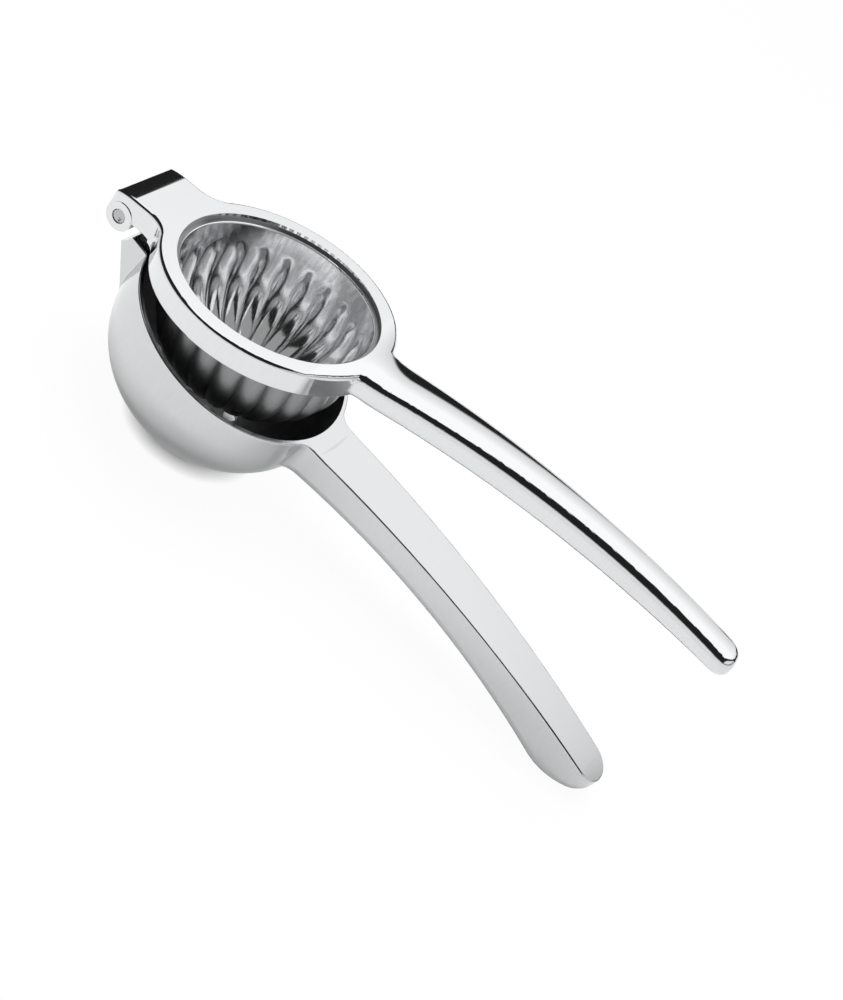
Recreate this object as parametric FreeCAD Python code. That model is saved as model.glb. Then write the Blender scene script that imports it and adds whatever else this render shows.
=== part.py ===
# Hinged lemon squeezer: two cast arms on one rivet, with a fluted press cup set in the upper arm.
# Millimetres and degrees. The pieces are drawn closed, about the middle of the bowl's rim:
# +X runs to the handle ends, +Y along the rivet and +Z up, out of the bowl.
# They are then opened as shown and laid as they rest on a table, with the bowl's foot at the origin.
import FreeCAD
import Part

import math
import os

# Bowl of the lower arm
rim_radius = 35.2
bowl_wall = 1.4
bowl_straight_height = 8.6
bowl_depth = 38.0
foot_depth = 0.35
drain_hole_diameter = 4.0
drain_circle_radii = (8.5, 16.5)
drain_circle_counts = (6, 12)

# Lower handle
lower_end_x = 158.0
lower_end_z = -1.2
lower_end_thickness = 4.2
lower_root_half_width = 9.9
lower_end_half_width = 6.5
lower_end_corner = 6.2
lower_top_slope = 7.0
lower_root_depth = 13.4
lower_middle_thickness = 10.8
lower_heel_depth = 12.2
lower_heel_setback = 19.0
lower_bottom_round = 3.2
lower_top_round = 0.5
lower_flare = 5.0

# Upper arm: ring, handle and hinge block
ring_top = 7.4
ring_rise_to_hinge = 0.8
ring_width = 5.2
ring_lip_height = 1.5
ring_lip_width = 0.6
ring_shoulder_round = 1.0
ring_bottom_round = 0.4
upper_handle_top_round = 2.3
upper_handle_bottom_round = 2.2
upper_end_x = 156.2
upper_end_z = 5.4
upper_root_half_width = 10.3
upper_middle_half_width = 7.0
upper_end_half_width = 5.8
upper_end_corner = 4.6
upper_top_slope = 8.5
upper_flare = 4.0
handle_blend_radius = 45.0
handle_blend_setback = 0.8

# Hinge
rim_to_pin = 10.3
pin_z = 0.9
pin_diameter = 4.2
pin_recess = 0.25
pin_end_chamfer = 0.3
punch_mark_diameter = 1.2
punch_mark_depth = 0.4
punch_mark_offset = (0.5, -0.8)
hinge_half_width = 12.5
boss_height = 0.25
boss_inset = 0.2
lug_radius = 4.3
block_end_lean = 0.9
gusset_junction_round = 1.2
knuckle_radius = 4.1
knuckle_width = 9.4
block_underside_z = 1.3
block_underside_setback = 0.4
block_end_drop = 0.6
block_end_slope_length = 6.4
block_flare = 9.0
seat_clearance = 2.4
gusset_corner_angle = -44.0
gusset_root_depth = 16.0
gusset_root_sink = 0.3

# Press cup
cup_wall = 0.9
cup_rim_below_ring_top = 1.3
cup_rim_round = 0.5
cup_flute_count = 24
cup_flute_depth = 1.7
cup_straight_height = 6.5
cup_depth = 29.5
cup_base_radius = 8.0
cup_dome_sections = 6

# Fits and clearances
closed_gap = 0.35
knuckle_side_gap = 0.3
knuckle_round_gap = 0.5
pin_running_gap = 0.05
cup_fit_gap = 0.02
cup_lip_gap = 0.1

# How far the arms stand open as shown, and a length that outreaches any piece it cuts
rest_opening = 15.2
overrun = 60.0
bisection_steps = 40

# Places that several pieces share
pin_x = -(rim_radius + rim_to_pin)
ring_bore_radius = rim_radius - ring_width

# Directions
origin = FreeCAD.Vector(0, 0, 0)
along_pin = FreeCAD.Vector(0, 1, 0)
upward = FreeCAD.Vector(0, 0, 1)


def side_point(x, z):
    return FreeCAD.Vector(x, 0, z)


def plan_point(x, y):
    return FreeCAD.Vector(x, y, 0)


def straight(start, end):
    return Part.LineSegment(start, end).toShape()


def arc_through(start, middle, end):
    return Part.Arc(start, middle, end).toShape()


def arc_leaving(start, angle, end):
    # The arc that leaves start at this angle above +X in the side view, and ends at end.
    chord = end - start
    turn = angle - math.atan2(chord.z, chord.x)
    sagitta = chord.Length / 2 * math.tan(turn / 2)
    across = side_point(-chord.z, chord.x) / chord.Length
    return arc_through(start, start + chord / 2 + across * sagitta, end)


def outline(edges):
    return Part.Face(Part.Wire(Part.sortEdges(edges)[0]))


def polygon(points):
    return outline([straight(a, b) for a, b in zip(points, points[1:] + points[:1])])


def slab(face, half_width):
    # A side outline made solid, as far to each side of the middle plane.
    moved = face.copy()
    moved.translate(along_pin * -half_width)
    return moved.extrude(along_pin * 2 * half_width)


def column(face):
    # A plan outline made solid, taller than any side outline it is cut by.
    moved = face.copy()
    moved.translate(upward * -overrun)
    return moved.extrude(upward * 2 * overrun)


def upright_cylinder(radius, bottom, top, x=0.0, y=0.0):
    return Part.makeCylinder(radius, top - bottom, FreeCAD.Vector(x, y, bottom))


def pin_cylinder(radius, near_y, far_y):
    start = FreeCAD.Vector(pin_x, near_y, pin_z)
    return Part.makeCylinder(radius, far_y - near_y, start, along_pin)


def box_between(low, high):
    size = high - low
    return Part.makeBox(size.x, size.y, size.z, low)


def mirrored(points):
    # A plan outline from its +Y half, listed from the hinge end to the handle end.
    return points + [plan_point(p.x, -p.y) for p in reversed(points)]


def face_lean(face):
    # The upward part of the normal at a face's middle: 1 on a top, 0 on a wall, -1 underneath.
    low_u, high_u, low_v, high_v = face.ParameterRange
    return face.normalAt((low_u + high_u) / 2, (low_v + high_v) / 2).z


def edges_to_walls(shape, leans):
    # The edges where the faces picked by their lean meet upright walls.
    level = {e.hashCode() for f in shape.Faces if leans(face_lean(f)) for e in f.Edges}
    walls = {e.hashCode() for f in shape.Faces if abs(face_lean(f)) < 0.2 for e in f.Edges}
    return [e for e in shape.Edges if e.hashCode() in level & walls]


def upright_edges(shape, picks):
    # The straight vertical edges whose place in plan the caller picks.
    found = []
    for edge in shape.Edges:
        ends = [v.Point for v in edge.Vertexes]
        if len(ends) == 2 and (ends[1] - ends[0]).cross(upward).Length < 1e-6 and picks(ends[0]):
            found.append(edge)
    return found


def quarter_ellipse(radius, drop, centre_z):
    # From the widest point at +X down to the axis, whichever of the two radii is the longer.
    centre = side_point(0, centre_z)
    out = side_point(radius, centre_z)
    down = side_point(0, centre_z - drop)
    ends = (out, down) if radius >= drop else (down, out)
    return Part.ArcOfEllipse(Part.Ellipse(ends[0], ends[1], centre), 0, math.pi / 2).toShape()


def bowl_solid(radius, depth, straight_height, top):
    # A short upright wall over an elliptical dome, filled up to top.
    edges = [
        quarter_ellipse(radius, depth - straight_height, -straight_height),
        straight(side_point(0, -depth), side_point(0, top)),
        straight(side_point(0, top), side_point(radius, top)),
        straight(side_point(radius, top), side_point(radius, -straight_height)),
    ]
    return outline(edges).revolve(origin, upward, 360)


def handle_line(start_z, slope, end):
    # Level off the rim, a short blend, then one long arch to the end of the handle.
    angle = math.radians(slope)
    start = side_point(rim_radius + handle_blend_setback, start_z)
    half = start + side_point(math.sin(angle / 2), 1 - math.cos(angle / 2)) * handle_blend_radius
    arch_start = start + side_point(math.sin(angle), 1 - math.cos(angle)) * handle_blend_radius
    return start, [arc_through(start, half, arch_start), arc_leaving(arch_start, angle, end)]


def parting_line(lift):
    # The top of the lower arm, which the underside of the upper arm follows at the closed gap.
    return handle_line(lift, lower_top_slope, side_point(lower_end_x, lower_end_z + lift))


def arm_column(handle_sides, handle_end_corner, handle_flare, end_x):
    # The plan of an arm past the hinge: the round of the rim, the handle and the flares between.
    disc = upright_cylinder(rim_radius, -overrun, overrun)
    handle = column(handle_sides)
    ends = upright_edges(handle, lambda p: p.x > end_x - handle_end_corner)
    plan = disc.fuse(handle.makeFillet(handle_end_corner, ends))
    roots = upright_edges(plan, lambda p: 0 < p.x < rim_radius)
    return plan.makeFillet(handle_flare, roots)


def handle_portion(arm, reach, end_x):
    # The handle with its flares and a little of the round that they run into.
    low = FreeCAD.Vector(0, -reach, -overrun)
    high = FreeCAD.Vector(end_x + overrun, reach, overrun)
    return arm.common(box_between(low, high))


def handle_edges(body, leans):
    # The long edges of a handle, from its flares to its end.
    edges = edges_to_walls(body, leans)
    return [e for e in edges if min(v.Point.x for v in e.Vertexes) > (ring_bore_radius + rim_radius) / 2]


def lower_underside(top_arch):
    # From the bowl wall along the shallow arch of the grip, then round the heel to the tip.
    middle_top = top_arch.valueAt((top_arch.FirstParameter + top_arch.LastParameter) / 2)
    root = side_point(ring_bore_radius, -lower_root_depth)
    heel = side_point(lower_end_x - lower_heel_setback, -lower_heel_depth)
    middle = middle_top - upward * lower_middle_thickness
    grip = arc_through(root, middle, heel)
    leaving = grip.tangentAt(grip.LastParameter)
    tip = side_point(lower_end_x, lower_end_z - lower_end_thickness)
    return grip, arc_leaving(heel, math.atan2(leaving.z, leaving.x), tip)


def lower_handle():
    blend_start, top = parting_line(0.0)
    grip, heel = lower_underside(top[1])
    root_top = side_point(ring_bore_radius, 0)
    side = outline([
        straight(root_top, blend_start),
        *top,
        straight(side_point(lower_end_x, lower_end_z), heel.Vertexes[-1].Point),
        heel,
        grip,
        straight(grip.Vertexes[0].Point, root_top),
    ])
    plan = polygon(mirrored([
        plan_point(ring_bore_radius, lower_root_half_width),
        plan_point(lower_end_x, lower_end_half_width),
    ]))
    plan_solid = arm_column(plan, lower_end_corner, lower_flare, lower_end_x)
    reach = lower_root_half_width + lower_flare
    body = handle_portion(plan_solid.common(slab(side, overrun)), reach, lower_end_x)
    return body.makeFillet(lower_bottom_round, handle_edges(body, lambda lean: lean < -0.6))


def bowl_half_chord(below_rim, off_centre):
    # Half the length of a straight cut across the bowl, this far below its rim and off its middle.
    down_dome = (below_rim - bowl_straight_height) / (bowl_depth - bowl_straight_height)
    radius = rim_radius * math.sqrt(1 - down_dome ** 2)
    return math.sqrt(radius ** 2 - off_centre ** 2)


def gusset():
    # The full-width block that carries the hinge, hollowed round the lugs of the upper arm.
    seat_radius = lug_radius + seat_clearance
    pin = side_point(pin_x, pin_z)
    corner_angle = math.radians(gusset_corner_angle)
    top_angle = math.asin(-pin_z / seat_radius)
    half_angle = (corner_angle + top_angle) / 2
    seat_top = pin + side_point(math.cos(top_angle), math.sin(top_angle)) * seat_radius
    seat_middle = pin + side_point(math.cos(half_angle), math.sin(half_angle)) * seat_radius
    corner = pin + side_point(math.cos(corner_angle), math.sin(corner_angle)) * seat_radius
    foot_x = gusset_root_sink - bowl_half_chord(gusset_root_depth, hinge_half_width)
    foot = side_point(foot_x, -gusset_root_depth)
    top = side_point(foot_x, 0)
    side = outline([
        arc_through(seat_top, seat_middle, corner),
        straight(corner, foot),
        straight(foot, top),
        straight(top, seat_top),
    ])
    return slab(side, hinge_half_width)


def knuckle():
    # The middle leaf of the hinge: a round eye on a short neck, wholly between the lugs.
    half_width = knuckle_width / 2
    eye = pin_cylinder(knuckle_radius, -half_width, half_width)
    neck_low = FreeCAD.Vector(pin_x, -half_width, pin_z - knuckle_radius)
    neck_high = FreeCAD.Vector(-(rim_radius - bowl_wall / 2), half_width, 0)
    return eye.fuse(box_between(neck_low, neck_high))


def drain_holes():
    radius = drain_hole_diameter / 2
    holes = [upright_cylinder(radius, -overrun, 0)]
    for circle_radius, count in zip(drain_circle_radii, drain_circle_counts):
        for index in range(count):
            angle = 2 * math.pi * (index + 0.5) / count
            x = circle_radius * math.cos(angle)
            y = circle_radius * math.sin(angle)
            holes.append(upright_cylinder(radius, -overrun, 0, x, y))
    return holes


def gusset_junction(body):
    # The edges where the sides of the gusset run into the outside of the bowl.
    edges = []
    for edge in body.Edges:
        ends = [v.Point for v in edge.Vertexes]
        on_sides = all(abs(abs(p.y) - hinge_half_width) < 1e-4 for p in ends)
        if on_sides and all(abs(math.hypot(p.x, p.y) - rim_radius) < bowl_wall and p.x < 0 for p in ends):
            if abs(ends[0].z - ends[-1].z) > 1e-4:
                edges.append(edge)
    return edges


def lower_arm():
    bowl = bowl_solid(rim_radius, bowl_depth, bowl_straight_height, 0)
    hollow = bowl_solid(rim_radius - bowl_wall, bowl_depth - bowl_wall, bowl_straight_height, overrun)
    body = bowl.fuse([lower_handle(), gusset()]).removeSplitter()
    body = body.makeFillet(gusset_junction_round, gusset_junction(body))
    crown = edges_to_walls(body, lambda lean: lean > 0.9)
    body = body.makeFillet(lower_top_round, crown)
    body = body.fuse(knuckle()).cut(hollow)
    body = body.cut(pin_cylinder(pin_diameter / 2 + pin_running_gap, -knuckle_width, knuckle_width))
    return body.cut(drain_holes())


def point_on_arch(arch, x):
    # Where the long arch of a handle stands at this distance along the handle.
    circle = arch.Curve
    return side_point(x, circle.Center.z + math.sqrt(circle.Radius ** 2 - (x - circle.Center.x) ** 2))


def upper_side_outline():
    # From the lugs up the end and along the top to the handle's end, then back underneath.
    hinge_end_x = pin_x - lug_radius
    lug_start = side_point(hinge_end_x, pin_z)
    lug_bottom = side_point(pin_x, pin_z - lug_radius)
    notch_run = math.sqrt(lug_radius ** 2 - (block_underside_z - pin_z) ** 2)
    notch = side_point(pin_x + notch_run, block_underside_z)
    block_top = ring_top + ring_rise_to_hinge
    end_high = side_point(hinge_end_x + block_end_lean, block_top - block_end_drop)
    slope_start = side_point(hinge_end_x + block_end_slope_length, block_top)
    top_end = side_point(upper_end_x, upper_end_z)
    top_blend_start, top = handle_line(ring_top, upper_top_slope, top_end)
    rise = arc_leaving(top_blend_start, math.pi, slope_start)
    rise_slope = 2 * math.atan2(top_blend_start.z - slope_start.z, top_blend_start.x - slope_start.x)
    under_blend_start, under = parting_line(closed_gap)
    under_blend, lower_arch = under
    under_end = point_on_arch(lower_arch, upper_end_x)
    under_arch = arc_leaving(lower_arch.Vertexes[0].Point, math.radians(lower_top_slope), under_end)
    step_x = -(rim_radius - block_underside_setback)
    step_low = side_point(step_x, closed_gap)
    step_high = side_point(step_x, block_underside_z)
    return outline([
        straight(lug_start, end_high),
        arc_leaving(slope_start, math.pi + rise_slope, end_high),
        rise,
        *top,
        straight(top_end, under_end),
        under_arch,
        under_blend,
        straight(under_blend_start, step_low),
        straight(step_low, step_high),
        straight(step_high, notch),
        arc_through(notch, lug_bottom, lug_start),
    ])


def upper_handle_plan():
    # Each side is one long hollow curve, drawn in towards the middle of the handle.
    middle_x = (ring_bore_radius + upper_end_x) / 2
    sides = []
    for sign in (1, -1):
        root = plan_point(ring_bore_radius, sign * upper_root_half_width)
        middle = plan_point(middle_x, sign * upper_middle_half_width)
        end = plan_point(upper_end_x, sign * upper_end_half_width)
        sides.append((root, middle, end))
    far, near = sides
    return outline([
        arc_through(*far),
        straight(far[2], near[2]),
        arc_through(*near),
        straight(near[0], far[0]),
    ])


def ring_and_block():
    # The ring with the hinge block flared into it.
    disc = upright_cylinder(rim_radius, -overrun, overrun)
    block = column(polygon(mirrored([
        plan_point(pin_x - lug_radius, hinge_half_width),
        plan_point(0, hinge_half_width),
    ])))
    plan = disc.fuse(block)
    roots = upright_edges(plan, lambda p: pin_x < p.x < 0)
    body = plan.makeFillet(block_flare, roots).common(slab(upper_side_outline(), overrun))
    body = body.makeFillet(ring_shoulder_round, edges_to_walls(body, lambda lean: lean > 0.6))
    rim = [e for e in edges_to_walls(body, lambda lean: lean < -0.9) if e.BoundBox.XMax > 0]
    return body.makeFillet(ring_bottom_round, rim)


def upper_handle():
    plan_solid = arm_column(upper_handle_plan(), upper_end_corner, upper_flare, upper_end_x)
    reach = upper_root_half_width + upper_flare
    body = handle_portion(plan_solid.common(slab(upper_side_outline(), overrun)), reach, upper_end_x)
    body = body.makeFillet(upper_handle_top_round, handle_edges(body, lambda lean: lean > 0.6))
    return body.makeFillet(upper_handle_bottom_round, handle_edges(body, lambda lean: lean < -0.6))


def knuckle_slot():
    # Room for the knuckle, open behind and below so that its neck can swing right round.
    half_width = knuckle_width / 2 + knuckle_side_gap
    radius = knuckle_radius + knuckle_round_gap
    low = FreeCAD.Vector(pin_x - overrun, -half_width, pin_z - overrun)
    high = FreeCAD.Vector(pin_x, half_width, pin_z + radius)
    return pin_cylinder(radius, -half_width, half_width).fuse(box_between(low, high))


def upper_arm():
    body = ring_and_block().fuse(upper_handle()).removeSplitter()
    boss_reach = hinge_half_width + boss_height
    body = body.fuse(pin_cylinder(lug_radius - boss_inset, -boss_reach, boss_reach))
    body = body.cut([knuckle_slot(), pin_cylinder(pin_diameter / 2, -overrun, overrun)])
    bore = upright_cylinder(ring_bore_radius, ring_lip_height, overrun)
    throat = upright_cylinder(ring_bore_radius - ring_lip_width, -overrun, overrun)
    return body.cut([bore, throat])


def flute_ring(radius, depth, z):
    # One level of the fluted wall: a closed row of round lobes that meet in grooves.
    step = 2 * math.pi / cup_flute_count
    edges = []
    for index in range(cup_flute_count):
        places = ((index - 0.5, radius - depth), (index, radius), (index + 0.5, radius - depth))
        points = [FreeCAD.Vector(reach * math.cos(turn * step), reach * math.sin(turn * step), z)
                  for turn, reach in places]
        edges.append(arc_through(*points))
    return Part.Wire(edges)


def fluted_solid(inset, top):
    # The fluted wall down to the flat base, filled up to top and drawn in all round by the inset.
    # Below the ring the flutes deepen down the straight wall, then shrink in step with the dome.
    wall_radius = ring_bore_radius - ring_lip_width - cup_lip_gap
    base_turn = math.acos(cup_base_radius / wall_radius)
    dome = (cup_depth - cup_straight_height) / math.sin(base_turn)
    rings = [
        flute_ring(wall_radius - inset, 0, closed_gap),
        flute_ring(wall_radius - inset, cup_flute_depth / 2, -cup_straight_height / 2),
    ]
    for index in range(cup_dome_sections + 1):
        turn = base_turn * index / cup_dome_sections
        radius = (wall_radius - inset) * math.cos(turn)
        z = -cup_straight_height - (dome - inset) * math.sin(turn)
        rings.append(flute_ring(radius, cup_flute_depth * math.cos(turn), z))
    wall = Part.makeLoft(rings, True, False)
    return wall.fuse(upright_cylinder(wall_radius - inset, closed_gap, top))


def press_cup():
    # A thick collar seated in the ring's bore carries the thin fluted wall.
    collar_top = ring_top - cup_rim_below_ring_top
    collar_radius = ring_bore_radius - cup_fit_gap
    collar = upright_cylinder(collar_radius, ring_lip_height, collar_top)
    filled = fluted_solid(0.0, collar_top).fuse(collar)
    cup = filled.cut(fluted_solid(cup_wall, ring_top)).removeSplitter()
    bore_radius = ring_bore_radius - ring_lip_width - cup_lip_gap - cup_wall
    mouth = [e for e in cup.Edges if e.Closed and e.BoundBox.ZMin > ring_lip_height
             and e.BoundBox.XMax < (bore_radius + collar_radius) / 2]
    return cup.makeFillet(cup_rim_round, mouth)


def hinge_pin():
    reach = hinge_half_width + boss_height - pin_recess
    radius = pin_diameter / 2
    pin = pin_cylinder(radius, -reach, reach)
    rims = [e for e in pin.Edges if e.Closed]
    pin = pin.makeChamfer(pin_end_chamfer, rims)
    mark_x, mark_z = punch_mark_offset
    mark_start = FreeCAD.Vector(pin_x + mark_x, -reach, pin_z + mark_z)
    mark = Part.makeCone(punch_mark_diameter / 2, 0, punch_mark_depth, mark_start, along_pin)
    return pin.cut(mark)


def table_normal(tilt):
    # Straight down to the table, as seen from the closed arms.
    return side_point(math.sin(tilt), -math.cos(tilt))


def bowl_reach(tilt):
    # How far the bowl stands out towards the table, less what the foot's flat takes off.
    dome = bowl_depth - bowl_straight_height
    widest = math.hypot(rim_radius * math.sin(tilt), dome * math.cos(tilt))
    return bowl_straight_height * math.cos(tilt) + widest - foot_depth


def heel_reach(tilt):
    # How far the round heel under the end of the lower handle stands out towards the table.
    heel = lower_underside(parting_line(0.0)[1][1])[1].Curve
    return table_normal(tilt).dot(heel.Center) + heel.Radius


def resting_tilt():
    # The slope at which the bowl's foot and the heel touch the table together.
    low, high = 0.0, math.pi / 4
    for step in range(bisection_steps):
        middle = (low + high) / 2
        if heel_reach(middle) > bowl_reach(middle):
            high = middle
        else:
            low = middle
    return middle


def foot_centre(tilt):
    normal = table_normal(tilt)
    dome = bowl_depth - bowl_straight_height
    widest = math.hypot(rim_radius * normal.x, dome * normal.z)
    touch = side_point(rim_radius ** 2 * normal.x, dome ** 2 * normal.z) / widest
    return side_point(0, -bowl_straight_height) + touch - normal * foot_depth


def opened(shape):
    shape.rotate(side_point(pin_x, pin_z), -along_pin, rest_opening)
    return shape


def laid(shape, tilt):
    # From the closed arms' frame to the table's, with the foot's centre at the origin.
    shape.translate(-foot_centre(tilt))
    shape.rotate(origin, along_pin, math.degrees(tilt))
    return shape


def footed(shape):
    # The small flat that the bowl stands on.
    low = FreeCAD.Vector(-rim_radius, -rim_radius, -overrun)
    high = FreeCAD.Vector(rim_radius, rim_radius, 0)
    return shape.cut(box_between(low, high))


def build():
    tilt = resting_tilt()
    return {
        "lower_arm": footed(laid(lower_arm(), tilt)),
        "upper_arm": laid(opened(upper_arm()), tilt),
        "press_cup": laid(opened(press_cup()), tilt),
        "hinge_pin": laid(opened(hinge_pin()), tilt),
    }


os.makedirs("parts", exist_ok=True)
for name, shape in build().items():
    shape.exportStep("parts/" + name + ".step")
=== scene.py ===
"""Dresses the hinged lemon squeezer: its polished castings, pressed cup and rivet, and the studio."""

import math

import bpy
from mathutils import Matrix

bl_info = {
    "name": "Hinged Lemon Squeezer",
    "version": (1, 0, 0),
    "blender": (4, 5, 0),
    "location": "3D View > Sidebar > Squeezer",
    "description": "Finishes the castings, the press cup and the rivet, and sets up the studio",
    "category": "Object",
}

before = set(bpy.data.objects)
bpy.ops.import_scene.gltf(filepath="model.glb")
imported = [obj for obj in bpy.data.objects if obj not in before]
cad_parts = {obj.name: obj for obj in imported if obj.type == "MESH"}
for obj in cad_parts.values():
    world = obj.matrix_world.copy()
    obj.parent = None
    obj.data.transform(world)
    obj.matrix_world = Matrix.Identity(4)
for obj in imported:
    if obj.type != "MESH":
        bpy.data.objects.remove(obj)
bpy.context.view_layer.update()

MM = 0.001

# The middles of the bowl's rim and of the cup's ring as the arms stand at rest, and how far their insides reach
BOWL_CENTRE = (-0.68 * MM, 0.0, 37.71 * MM)
BOWL_REACH = 39.0 * MM
CUP_CENTRE = (0.08 * MM, 0.0, 49.7 * MM)
CUP_REACH = 36.0 * MM
# Where along the upper handle its crowned top begins and is full
HANDLE_CROWN_FADE = (24 * MM, 42 * MM)
# How far the metal leans towards a hollow's centre before it counts as its inside
HOLLOW_LEAN = (-2 * MM, -4 * MM)
# The width and length of a wheel mark, and of a wave that the punch drew out of the sheet
WHEEL_MARK = (0.25 * MM, 6 * MM)
DRAWN_WAVE = (2.2 * MM, 9 * MM)
# The width and height of the slow unevenness in each finish
MIRROR_RIPPLES = (15 * MM, 0.003 * MM)
SATIN_RIPPLES = (12 * MM, 0.004 * MM)
SHEET_RIPPLES = (6 * MM, 0.01 * MM)
RIVET_RIPPLES = (0.6 * MM, 0.01 * MM)
# The grain of the tumbled inside: its width and height
TUMBLED_GRAIN = (1.2 * MM, 0.02 * MM)
# The width of the patches in the mirror finish and of a stain on the rivet, and how light the duller metal is
POLISH_PATCH, PATCH_SHADE = 20 * MM, 0.97
STAIN, STAIN_SHADE = 1.5 * MM, 0.75
# The width and height of the paper's tooth
PAPER_TOOTH = (2 * MM, 0.01 * MM)
# Where the lamps stand, and how wide they are, in metres
OVERHEAD_PLACE, OVERHEAD_WIDTH = (-0.12, 0.08, 1.0), 0.7
CUP_LAMP_PLACE, CUP_LAMP_WIDTH = (0.0, 0.05, 0.75), 1.3
# From the foot outwards: where the shadow under the bowl gives way to white, and where the far floor begins
FOOT_SHADOW = (14 * MM, 22 * MM)
FAR_FLOOR = (0.2, 0.7)
# The lights of the studio by their height and bearing, low or left edge first, and how softly they end
DEGREE = math.radians(1)
GROUND_GLOW_ENDS = (25 * DEGREE, 6 * DEGREE)
DARK_WALL_BEARINGS = (-42 * DEGREE, 44 * DEGREE)
PANEL_HEIGHTS = (18 * DEGREE, 70 * DEGREE)
CARD_HEIGHTS = (25 * DEGREE, 60 * DEGREE)
SOFT_EDGE = 4 * DEGREE
# The panel is this bright at its foot, as a share, and full from this height
PANEL_FOOT_SHARE, PANEL_FULL_HEIGHT = 0.68, 36 * DEGREE
# The upright edges of the panel and of the card, as shares of a direction, and how far the panel's lean
PANEL_EDGES, PANEL_LEAN = (-0.31, 0.56), 0.2
CARD_EDGE = 0.68


def linear(hex_colour):
    """An sRGB hex colour as linear red, green, blue and alpha."""
    channels = []
    for place in (1, 3, 5):
        value = int(hex_colour[place:place + 2], 16) / 255
        channels.append(value / 12.92 if value <= 0.04045 else ((value + 0.055) / 1.055) ** 2.4)
    return (*channels, 1.0)


def node(tree, kind, inputs=None, **settings):
    """Adds a node; settings are its attributes, and inputs are plain values, other nodes or their outputs."""
    made = tree.nodes.new(kind)
    for name, value in settings.items():
        setattr(made, name, value)
    for place, value in (inputs or {}).items():
        if isinstance(value, bpy.types.Node):
            value = next(output for output in value.outputs if output.enabled)
        if isinstance(value, bpy.types.NodeSocket):
            tree.links.new(made.inputs[place], value)
        else:
            made.inputs[place].default_value = value
    return made


def new_material(name):
    """An empty material with its output, ready for a surface."""
    material = bpy.data.materials.new(name)
    material.use_nodes = True
    tree = material.node_tree
    tree.nodes.clear()
    return material, tree, node(tree, "ShaderNodeOutputMaterial")


def hollow_side(tree, coordinates, centre, reach):
    """One on the faces that look in towards the centre of a bowl or cup, no further from it than reach."""
    arm = node(tree, "ShaderNodeVectorMath", {
        0: coordinates.outputs["Object"], 1: centre}, operation="SUBTRACT")
    outward = node(tree, "ShaderNodeVectorMath", {0: arm, 1: coordinates.outputs["Normal"]},
                   operation="DOT_PRODUCT")
    distance = node(tree, "ShaderNodeVectorMath", {0: arm}, operation="LENGTH")
    start, full = HOLLOW_LEAN
    looks_in = node(tree, "ShaderNodeMapRange", {"Value": outward, "From Min": start, "From Max": full})
    near = node(tree, "ShaderNodeMapRange", {
        "Value": distance, "From Min": reach + 0.5 * MM, "From Max": reach})
    return node(tree, "ShaderNodeMath", {0: looks_in, 1: near}, operation="MULTIPLY")


def polished(tree, output, place, colour, roughness, relief):
    """The bare metal: fine wheel marks vary its colour and its polish, and the relief bends what it shows."""
    # Wheel marks are some hundredths of a millimetre wide; they are drawn at a quarter, or they wouldn't show
    width, length = WHEEL_MARK
    along = node(tree, "ShaderNodeMapping", {"Vector": place, "Scale": (1 / width, 1 / width, 1 / length)})
    marks = node(tree, "ShaderNodeTexNoise", {"Vector": along, "Scale": 1.0, "Detail": 4.0})
    lighter = node(tree, "ShaderNodeMapRange", {
        "Value": marks, "From Min": 0.25, "From Max": 0.75, "To Min": 1.02, "To Max": 0.96})
    shade = node(tree, "ShaderNodeHueSaturation", {"Color": colour, "Value": lighter})
    duller = node(tree, "ShaderNodeMapRange", {
        "Value": marks, "From Min": 0.25, "From Max": 0.75, "To Min": 0.85, "To Max": 1.2})
    varied = node(tree, "ShaderNodeMath", {0: roughness, 1: duller}, operation="MULTIPLY")
    bent = node(tree, "ShaderNodeBump", {"Height": relief, "Distance": 1.0})
    surface = node(tree, "ShaderNodeBsdfPrincipled", {
        "Base Color": shade, "Roughness": varied, "Normal": bent, "Metallic": 1.0})
    tree.links.new(output.inputs["Surface"], surface.outputs["BSDF"])


def with_ripples(tree, place, size, depth, relief):
    """A relief with the slow unevenness that grinding leaves under a polish, in metres of height."""
    waves = node(tree, "ShaderNodeTexNoise", {"Vector": place, "Scale": 1 / size, "Detail": 1.0})
    return node(tree, "ShaderNodeMath", {0: waves, 1: depth, 2: relief}, operation="MULTIPLY_ADD")


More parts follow.
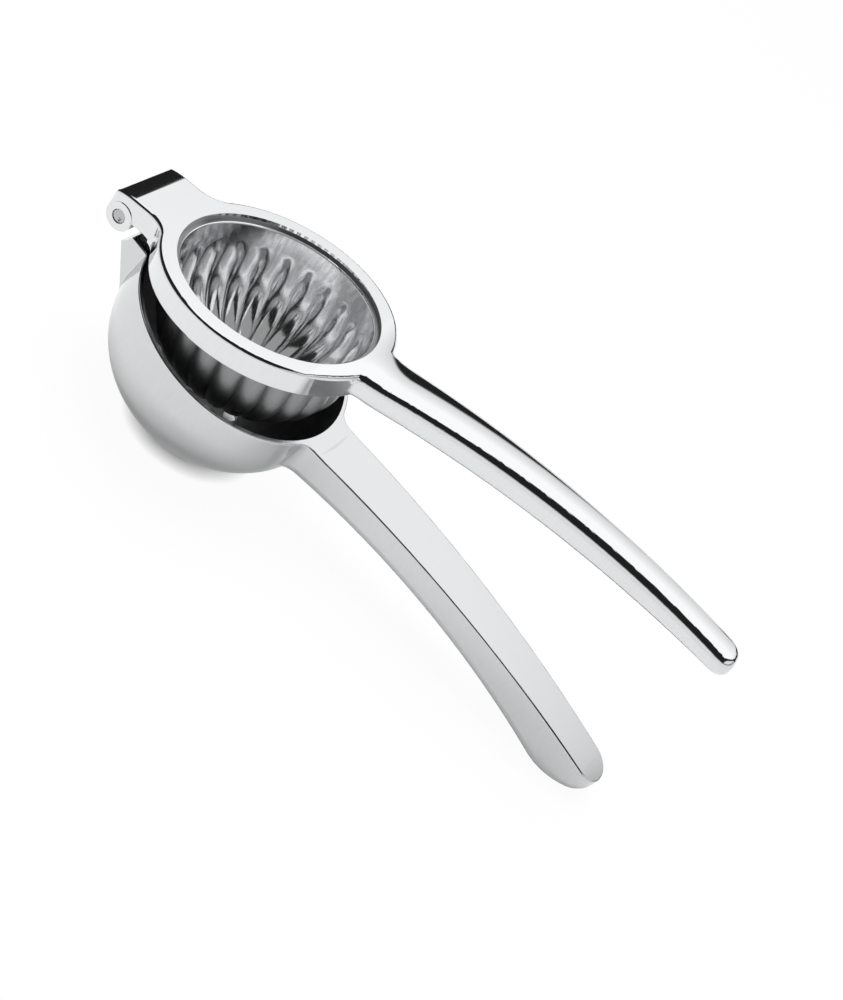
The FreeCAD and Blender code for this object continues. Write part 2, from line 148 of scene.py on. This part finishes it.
def mirror_casting(finish):
    """The upper arm's metal, with the slight crown that buffing left across its handle."""
    # Zinc, die cast, ground and buffed on a cloth wheel until it mirrors: the eye gets the studio, sharp and
    # bright, with soft bends where the buffing ran over an edge, and a panel that fades across the handle
    material, tree, output = new_material("Mirror-buffed die-cast zinc")
    place = node(tree, "ShaderNodeTexCoord").outputs["Object"]
    axes = node(tree, "ShaderNodeSeparateXYZ", {"Vector": place})
    across = node(tree, "ShaderNodeMath", {0: axes.outputs["Y"], 1: 2.0}, operation="POWER")
    start, full = HANDLE_CROWN_FADE
    on_handle = node(tree, "ShaderNodeMapRange", {
        "Value": axes.outputs["X"], "From Min": start, "From Max": full, "To Max": -0.5 / finish.crown_radius,
    }, interpolation_type="SMOOTHSTEP")
    crown = node(tree, "ShaderNodeMath", {0: across, 1: on_handle}, operation="MULTIPLY")
    relief = with_ripples(tree, place, *MIRROR_RIPPLES, crown)
    patches = node(tree, "ShaderNodeTexNoise", {"Vector": place, "Scale": 1 / POLISH_PATCH, "Detail": 2.0})
    dull = [channel * PATCH_SHADE for channel in finish.colour]
    colour = node(tree, "ShaderNodeMix", {
        "Factor": patches, "A": (*finish.colour, 1), "B": (*dull, 1)}, data_type="RGBA")
    roughness = node(tree, "ShaderNodeMapRange", {
        "Value": patches, "From Min": 0.3, "From Max": 0.7,
        "To Min": finish.roughness * 0.8, "To Max": finish.roughness * 1.2})
    polished(tree, output, place, colour, roughness, relief)
    return material


def satin_casting(finish):
    """The lower arm's metal, satin outside and tumbled inside the bowl, where it is painted darker as shade."""
    # The same zinc with a shorter time on the wheel: the eye gets broad soft light on the flats and the bowl,
    # and inside the bowl, where only the tumbling drum reached, a rougher metal with a fine tooth, painted
    # darker as shade
    material, tree, output = new_material("Satin-buffed die-cast zinc")
    coordinates = node(tree, "ShaderNodeTexCoord")
    place = coordinates.outputs["Object"]
    inside = hollow_side(tree, coordinates, BOWL_CENTRE, BOWL_REACH)
    # Painted shade: the faces inside the bowl take the darker inside colour for the shade in the hollow; their
    # roughness and grain stand for the tumbled finish
    colour = node(tree, "ShaderNodeMix", {
        "Factor": inside, "A": (*finish.colour, 1), "B": (*finish.inside_colour_with_painted_shading, 1)}, data_type="RGBA")
    width, height = TUMBLED_GRAIN
    grain = node(tree, "ShaderNodeTexNoise", {"Vector": place, "Scale": 1 / width, "Detail": 3.0})
    depth = node(tree, "ShaderNodeMath", {0: inside, 1: height}, operation="MULTIPLY")
    tumbled = node(tree, "ShaderNodeMath", {0: grain, 1: depth}, operation="MULTIPLY")
    relief = with_ripples(tree, place, *SATIN_RIPPLES, tumbled)
    roughness = node(tree, "ShaderNodeMapRange", {
        "Value": inside, "To Min": finish.roughness, "To Max": finish.inside_roughness})
    polished(tree, output, place, colour, roughness, relief)
    return material


def pressed_sheet(finish):
    """The cup's metal, smooth outside and drawn into long waves inside."""
    # Bright stainless sheet, pressed into flutes by a punch: the eye gets a mirror that the drawing has pulled
    # into shallow upright waves, so what it shows runs in wavy lines; its outside, down in the bowl, is painted
    # dark grey as shade, and its inside painted lighter for the light that falls into the cup
    material, tree, output = new_material("Deep-drawn stainless sheet")
    coordinates = node(tree, "ShaderNodeTexCoord")
    place = coordinates.outputs["Object"]
    inside = hollow_side(tree, coordinates, CUP_CENTRE, CUP_REACH)
    # Painted light and shade: the outside of the cup, down in the bowl, takes a dark colour as shade, and the
    # inside a light colour for the light that falls into it
    colour = node(tree, "ShaderNodeMix", {
        "Factor": inside, "A": (*finish.colour, 1), "B": (*finish.inside_colour_with_painted_shading, 1)}, data_type="RGBA")
    width, length = DRAWN_WAVE
    upright = node(tree, "ShaderNodeMapping", {"Vector": place, "Scale": (1 / width, 1 / width, 1 / length)})
    drawn = node(tree, "ShaderNodeTexNoise", {"Vector": upright, "Scale": 1.0, "Detail": 1.0})
    depth = node(tree, "ShaderNodeMapRange", {
        "Value": inside, "To Min": 0.03 * MM, "To Max": finish.wave_depth})
    waves = node(tree, "ShaderNodeMath", {0: drawn, 1: depth}, operation="MULTIPLY")
    relief = with_ripples(tree, place, *SHEET_RIPPLES, waves)
    roughness = node(tree, "ShaderNodeMapRange", {
        "Value": inside, "To Min": finish.roughness, "To Max": finish.inside_roughness})
    polished(tree, output, place, colour, roughness, relief)
    return material


def turned_rivet(finish):
    """The rivet's metal, with a few stains."""
    # Mild steel, faced on a lathe and struck once: the eye gets a soft grey end, stained here and there,
    # whose turned rings are too fine to see
    material, tree, output = new_material("Turned mild steel")
    place = node(tree, "ShaderNodeTexCoord").outputs["Object"]
    stains = node(tree, "ShaderNodeTexNoise", {"Vector": place, "Scale": 1 / STAIN, "Detail": 3.0})
    dull = [channel * STAIN_SHADE for channel in finish.colour]
    colour = node(tree, "ShaderNodeMix", {
        "Factor": stains, "A": (*finish.colour, 1), "B": (*dull, 1)}, data_type="RGBA")
    roughness = node(tree, "ShaderNodeMapRange", {
        "Value": stains, "From Min": 0.3, "From Max": 0.7,
        "To Min": finish.roughness * 0.8, "To Max": finish.roughness * 1.3})
    polished(tree, output, place, colour, roughness, with_ripples(tree, place, *RIVET_RIPPLES, 0.0))
    return material


def finish_node(name, material):
    """Gives a solid of the frame its finished material."""
    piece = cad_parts[name]
    piece.data.materials.clear()
    piece.data.materials.append(material)
    return piece


class UpperArmFinish(bpy.types.PropertyGroup):
    """The mirror-polished casting with the ring."""
    colour: bpy.props.FloatVectorProperty(
        name="Colour", description="Colour of the polished casting", subtype="COLOR",
        default=linear("#DADBDC")[:3], min=0, max=1)
    roughness: bpy.props.FloatProperty(
        name="Roughness", description="How far the polish blurs what it reflects", subtype="FACTOR",
        default=0.06, min=0, max=1)
    crown_radius: bpy.props.FloatProperty(
        name="Crown radius", description="Radius of the slight crown across the top of the handle",
        subtype="DISTANCE", default=29 * MM, min=MM)


class LowerArmFinish(bpy.types.PropertyGroup):
    """The satin-polished casting with the bowl."""
    colour: bpy.props.FloatVectorProperty(
        name="Colour", description="Colour of the polished casting", subtype="COLOR",
        default=linear("#CACBCC")[:3], min=0, max=1)
    roughness: bpy.props.FloatProperty(
        name="Roughness", description="How far the polish blurs what it reflects", subtype="FACTOR",
        default=0.15, min=0, max=1)
    # Painted shade: darker than the outside, for the shade inside the bowl
    inside_colour_with_painted_shading: bpy.props.FloatVectorProperty(
        name="Inside colour", description="Colour of the tumbled inside of the bowl", subtype="COLOR",
        default=linear("#A0A1A2")[:3], min=0, max=1)
    inside_roughness: bpy.props.FloatProperty(
        name="Inside roughness", description="How far the tumbled inside blurs what it reflects",
        subtype="FACTOR", default=0.42, min=0, max=1)


class PressCupFinish(bpy.types.PropertyGroup):
    """The fluted cup pressed from sheet."""
    # Painted shade: the cup's outside, down in the bowl, is made dark grey as shade
    colour: bpy.props.FloatVectorProperty(
        name="Colour", description="Colour of the pressed sheet", subtype="COLOR",
        default=linear("#8F9091")[:3], min=0, max=1)
    roughness: bpy.props.FloatProperty(
        name="Roughness", description="How far the sheet blurs what it reflects", subtype="FACTOR",
        default=0.42, min=0, max=1)
    # Painted light: the cup's inside is made lighter than its outside, for the light that falls into it
    inside_colour_with_painted_shading: bpy.props.FloatVectorProperty(
        name="Inside colour", description="Colour of the inside of the cup", subtype="COLOR",
        default=linear("#E3E4E5")[:3], min=0, max=1)
    inside_roughness: bpy.props.FloatProperty(
        name="Inside roughness", description="How far the inside blurs what it reflects", subtype="FACTOR",
        default=0.13, min=0, max=1)
    wave_depth: bpy.props.FloatProperty(
        name="Wave depth", description="Height of the waves that the drawing left inside", subtype="DISTANCE",
        default=0.05 * MM, min=0)


class HingePinFinish(bpy.types.PropertyGroup):
    """The steel rivet."""
    colour: bpy.props.FloatVectorProperty(
        name="Colour", description="Colour of the rivet", subtype="COLOR",
        default=linear("#BDBEBF")[:3], min=0, max=1)
    roughness: bpy.props.FloatProperty(
        name="Roughness", description="How far the turned end blurs what it reflects", subtype="FACTOR",
        default=0.25, min=0, max=1)


class StudioSettings(bpy.types.PropertyGroup):
    """The camera, the floor and the light."""
    lens: bpy.props.FloatProperty(
        name="Lens", description="Focal length of the camera in millimetres", default=56.8, min=10, max=300)
    camera_place: bpy.props.FloatVectorProperty(
        name="Camera place", description="Where the camera stands", subtype="TRANSLATION", unit="LENGTH",
        default=(0.09534, -0.34741, 0.29304))
    camera_turn: bpy.props.FloatVectorProperty(
        name="Camera turn", description="How the camera is turned", subtype="EULER",
        default=(math.radians(46.156), math.radians(-31.304), math.radians(31.431)))
    panel_strength: bpy.props.FloatProperty(
        name="Panel strength", description="Brightness of the soft panel behind the squeezer",
        default=1.38, min=0, max=10)
    side_strength: bpy.props.FloatProperty(
        name="Side strength", description="Brightness of the white card beside the handles",
        default=1.0, min=0, max=10)
    cup_lamp_power: bpy.props.FloatProperty(
        name="Cup lamp power", description="Power of the soft lamp that shines into the cup", unit="POWER",
        default=1.9, min=0)
    room_strength: bpy.props.FloatProperty(
        name="Room strength", description="Brightness of the dark room over and in front of it",
        default=0.02, min=0, max=10)
    lamp_power: bpy.props.FloatProperty(
        name="Lamp power", description="Power of the lamp over the floor", unit="POWER", default=11, min=0)
    mirrored_white: bpy.props.FloatProperty(
        name="Mirrored white",
        description="Share of plain white in the floor that the metal shows from close by",
        subtype="FACTOR", default=0.25, min=0, max=1)
    open_white: bpy.props.FloatProperty(
        name="Open white", description="Share of plain white in the floor that the camera sees, off the foot",
        subtype="FACTOR", default=0.95, min=0, max=1)
    floor_width: bpy.props.FloatProperty(
        name="Floor width", description="Width of the floor", subtype="DISTANCE", default=6.0, min=1, max=20)
    floor_colour: bpy.props.FloatVectorProperty(
        name="Floor colour", description="Colour of the paper floor", subtype="COLOR",
        default=linear("#F2F2F2")[:3], min=0, max=1)


class SQUEEZER_OT_lower_arm(bpy.types.Operator):
    """Finish the lower arm with its bowl and handle"""
    bl_idname = "squeezer.lower_arm"
    bl_label = "Lower arm"

    def execute(self, context):
        finish_node("lower_arm", satin_casting(context.scene.squeezer_lower_arm))
        return {"FINISHED"}


class SQUEEZER_OT_upper_arm(bpy.types.Operator):
    """Finish the upper arm with its ring and handle"""
    bl_idname = "squeezer.upper_arm"
    bl_label = "Upper arm"

    def execute(self, context):
        finish_node("upper_arm", mirror_casting(context.scene.squeezer_upper_arm))
        return {"FINISHED"}


class SQUEEZER_OT_press_cup(bpy.types.Operator):
    """Finish the fluted press cup"""
    bl_idname = "squeezer.press_cup"
    bl_label = "Press cup"

    def execute(self, context):
        finish_node("press_cup", pressed_sheet(context.scene.squeezer_press_cup))
        return {"FINISHED"}


class SQUEEZER_OT_hinge_pin(bpy.types.Operator):
    """Finish the rivet of the hinge"""
    bl_idname = "squeezer.hinge_pin"
    bl_label = "Hinge pin"

    def execute(self, context):
        finish_node("hinge_pin", turned_rivet(context.scene.squeezer_hinge_pin))
        return {"FINISHED"}


def studio_world(settings):
    """A dark room over white ground, with one tall soft panel that leans behind the squeezer."""
    world = bpy.data.worlds.new("Studio")
    bpy.context.scene.world = world
    world.use_nodes = True
    tree = world.node_tree
    tree.nodes.clear()
    direction = node(tree, "ShaderNodeTexCoord").outputs["Generated"]
    axes = node(tree, "ShaderNodeSeparateXYZ", {"Vector": direction})
    right, back, up = (axes.outputs[name] for name in "XYZ")
    height = node(tree, "ShaderNodeMath", {0: up}, operation="ARCSINE")
    bearing = node(tree, "ShaderNodeMath", {0: right, 1: back}, operation="ARCTAN2")
    leaning = node(tree, "ShaderNodeMath", {0: up, 1: PANEL_LEAN, 2: right}, operation="MULTIPLY_ADD")
    light = node(tree, "ShaderNodeMapRange", {
        "Value": height, "From Min": GROUND_GLOW_ENDS[0], "From Max": GROUND_GLOW_ENDS[1],
        "To Min": settings.room_strength, "To Max": 1.0}, interpolation_type="SMOOTHSTEP")
    glowing = node(tree, "ShaderNodeMapRange", {
        "Value": height, "From Min": PANEL_HEIGHTS[0], "From Max": PANEL_FULL_HEIGHT,
        "To Min": settings.panel_strength * PANEL_FOOT_SHARE, "To Max": settings.panel_strength})
    # One after another over the ground's glow: each with its edges, as a measure, low, high and their softness
    for strength, edges in (
        # the dark wall behind
        (settings.room_strength, [(bearing, *DARK_WALL_BEARINGS, SOFT_EDGE)]),
        # the white card on the right
        (settings.side_strength, [(right, CARD_EDGE, 2, 0.05), (height, *CARD_HEIGHTS, SOFT_EDGE)]),
        # the soft panel
        (glowing, [(leaning, *PANEL_EDGES, 0.03), (height, *PANEL_HEIGHTS, SOFT_EDGE), (back, 0.05, 2, 0.05)]),
        # everything below the horizon
        (1.0, [(height, -2, -0.03, 0.02)]),
    ):
        mask = 1.0
        for measure, low, high, soft in edges:
            for outer, inner in ((low - soft, low), (high + soft, high)):
                edge = node(tree, "ShaderNodeMapRange", {
                    "Value": measure, "From Min": outer, "From Max": inner}, interpolation_type="SMOOTHSTEP")
                mask = node(tree, "ShaderNodeMath", {0: mask, 1: edge}, operation="MULTIPLY")
        light = node(tree, "ShaderNodeMix", {"Factor": mask, "A": light, "B": strength}, data_type="FLOAT")
    seen = node(tree, "ShaderNodeMix", {
        "Factor": node(tree, "ShaderNodeLightPath").outputs["Is Camera Ray"], "A": light, "B": 1.0,
    }, data_type="FLOAT")
    glow = node(tree, "ShaderNodeBackground", {"Color": (1, 1, 1, 1), "Strength": seen})
    node(tree, "ShaderNodeOutputWorld", {"Surface": glow})


def paper_floor(settings):
    """White paper that looks white from afar and keeps a faint shadow, all of it close under the bowl."""
    # Uncoated paper off a roll: the eye gets an even matt white with a tooth that is finer than it can see
    material, tree, output = new_material("Seamless white paper")
    place = node(tree, "ShaderNodeTexCoord").outputs["Object"]
    width, height = PAPER_TOOTH
    tooth = node(tree, "ShaderNodeTexNoise", {"Vector": place, "Scale": 1 / width})
    relief = node(tree, "ShaderNodeBump", {"Height": tooth, "Distance": height})
    paper = node(tree, "ShaderNodeBsdfDiffuse", {"Normal": relief, "Color": (*settings.floor_colour, 1)})
    white = node(tree, "ShaderNodeEmission")
    ray = node(tree, "ShaderNodeLightPath")
    from_foot = node(tree, "ShaderNodeVectorMath", {0: place}, operation="LENGTH")
    open_white = node(tree, "ShaderNodeMapRange", {
        "Value": from_foot, "From Min": FOOT_SHADOW[0], "From Max": FOOT_SHADOW[1],
        "To Max": settings.open_white})
    seen = node(tree, "ShaderNodeMath", {0: ray.outputs["Is Camera Ray"], 1: open_white}, operation="MULTIPLY")
    bounced = node(tree, "ShaderNodeMath", {
        0: ray.outputs["Is Glossy Ray"], 1: ray.outputs["Is Transmission Ray"]}, operation="MAXIMUM")
    mirrored_white = node(tree, "ShaderNodeMapRange", {
        "Value": from_foot, "From Min": FAR_FLOOR[0], "From Max": FAR_FLOOR[1],
        "To Min": settings.mirrored_white, "To Max": 1.0})
    share = node(tree, "ShaderNodeMath", {0: bounced, 1: mirrored_white, 2: seen}, operation="MULTIPLY_ADD")
    mixed = node(tree, "ShaderNodeMixShader", {0: share, 1: paper, 2: white})
    tree.links.new(output.inputs["Surface"], mixed.outputs["Shader"])
    return material


class SQUEEZER_OT_studio(bpy.types.Operator):
    """Set up the floor, the light and the camera"""
    bl_idname = "squeezer.studio"
    bl_label = "Studio"

    def execute(self, context):
        scene = context.scene
        settings = scene.squeezer_studio
        studio_world(settings)
        half = settings.floor_width / 2
        sheet = bpy.data.meshes.new("floor")
        corners = [(-half, -half, 0), (half, -half, 0), (half, half, 0), (-half, half, 0)]
        sheet.from_pydata(corners, [], [(0, 1, 2, 3)])
        floor = bpy.data.objects.new("floor", sheet)
        sheet.materials.append(paper_floor(settings))
        scene.collection.objects.link(floor)
        lamp_data = bpy.data.lights.new("overhead", "AREA")
        lamp_data.size = OVERHEAD_WIDTH
        lamp_data.energy = settings.lamp_power
        lamp = bpy.data.objects.new("overhead", lamp_data)
        lamp.location = OVERHEAD_PLACE
        lamp.visible_glossy = False
        scene.collection.objects.link(lamp)
        cup_lamp_data = bpy.data.lights.new("over_the_cup", "AREA")
        cup_lamp_data.size = CUP_LAMP_WIDTH
        cup_lamp_data.energy = settings.cup_lamp_power
        cup_lamp = bpy.data.objects.new("over_the_cup", cup_lamp_data)
        cup_lamp.location = CUP_LAMP_PLACE
        lit = bpy.data.collections.new("lit_by_the_cup_lamp")
        lit.objects.link(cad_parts["press_cup"])
        cup_lamp.light_linking.receiver_collection = lit
        scene.collection.objects.link(cup_lamp)
        camera_data = bpy.data.cameras.new("photograph")
        camera_data.lens = settings.lens
        camera_data.clip_start = 0.01
        camera_data.clip_end = 50
        camera = bpy.data.objects.new("photograph", camera_data)
        camera.location = settings.camera_place
        camera.rotation_euler = settings.camera_turn
        scene.collection.objects.link(camera)
        scene.camera = camera
        scene.view_settings.view_transform = "Standard"
        return {"FINISHED"}


class SQUEEZER_PT_panel(bpy.types.Panel):
    """Lists the pieces and the stage"""
    bl_label = "Lemon squeezer"
    bl_idname = "SQUEEZER_PT_panel"
    bl_space_type = "VIEW_3D"
    bl_region_type = "UI"
    bl_category = "Squeezer"

    def draw(self, context):
        for name, group in GROUPS.items():
            box = self.layout.box()
            settings = getattr(context.scene, "squeezer_" + name)
            for key in group.__annotations__:
                box.prop(settings, key)
            box.operator("squeezer." + name)


GROUPS = {
    "lower_arm": LowerArmFinish,
    "upper_arm": UpperArmFinish,
    "press_cup": PressCupFinish,
    "hinge_pin": HingePinFinish,
    "studio": StudioSettings,
}

CLASSES = (
    *GROUPS.values(),
    SQUEEZER_OT_lower_arm,
    SQUEEZER_OT_upper_arm,
    SQUEEZER_OT_press_cup,
    SQUEEZER_OT_hinge_pin,
    SQUEEZER_OT_studio,
    SQUEEZER_PT_panel,
)


def register():
    for each in CLASSES:
        bpy.utils.register_class(each)
    for name, group in GROUPS.items():
        setattr(bpy.types.Scene, "squeezer_" + name, bpy.props.PointerProperty(type=group))


def unregister():
    for name in GROUPS:
        delattr(bpy.types.Scene, "squeezer_" + name)
    for each in reversed(CLASSES):
        bpy.utils.unregister_class(each)


def main():
    register()
    for name in GROUPS:
        getattr(bpy.ops.squeezer, name)()


if __name__ == "__main__":
    main()
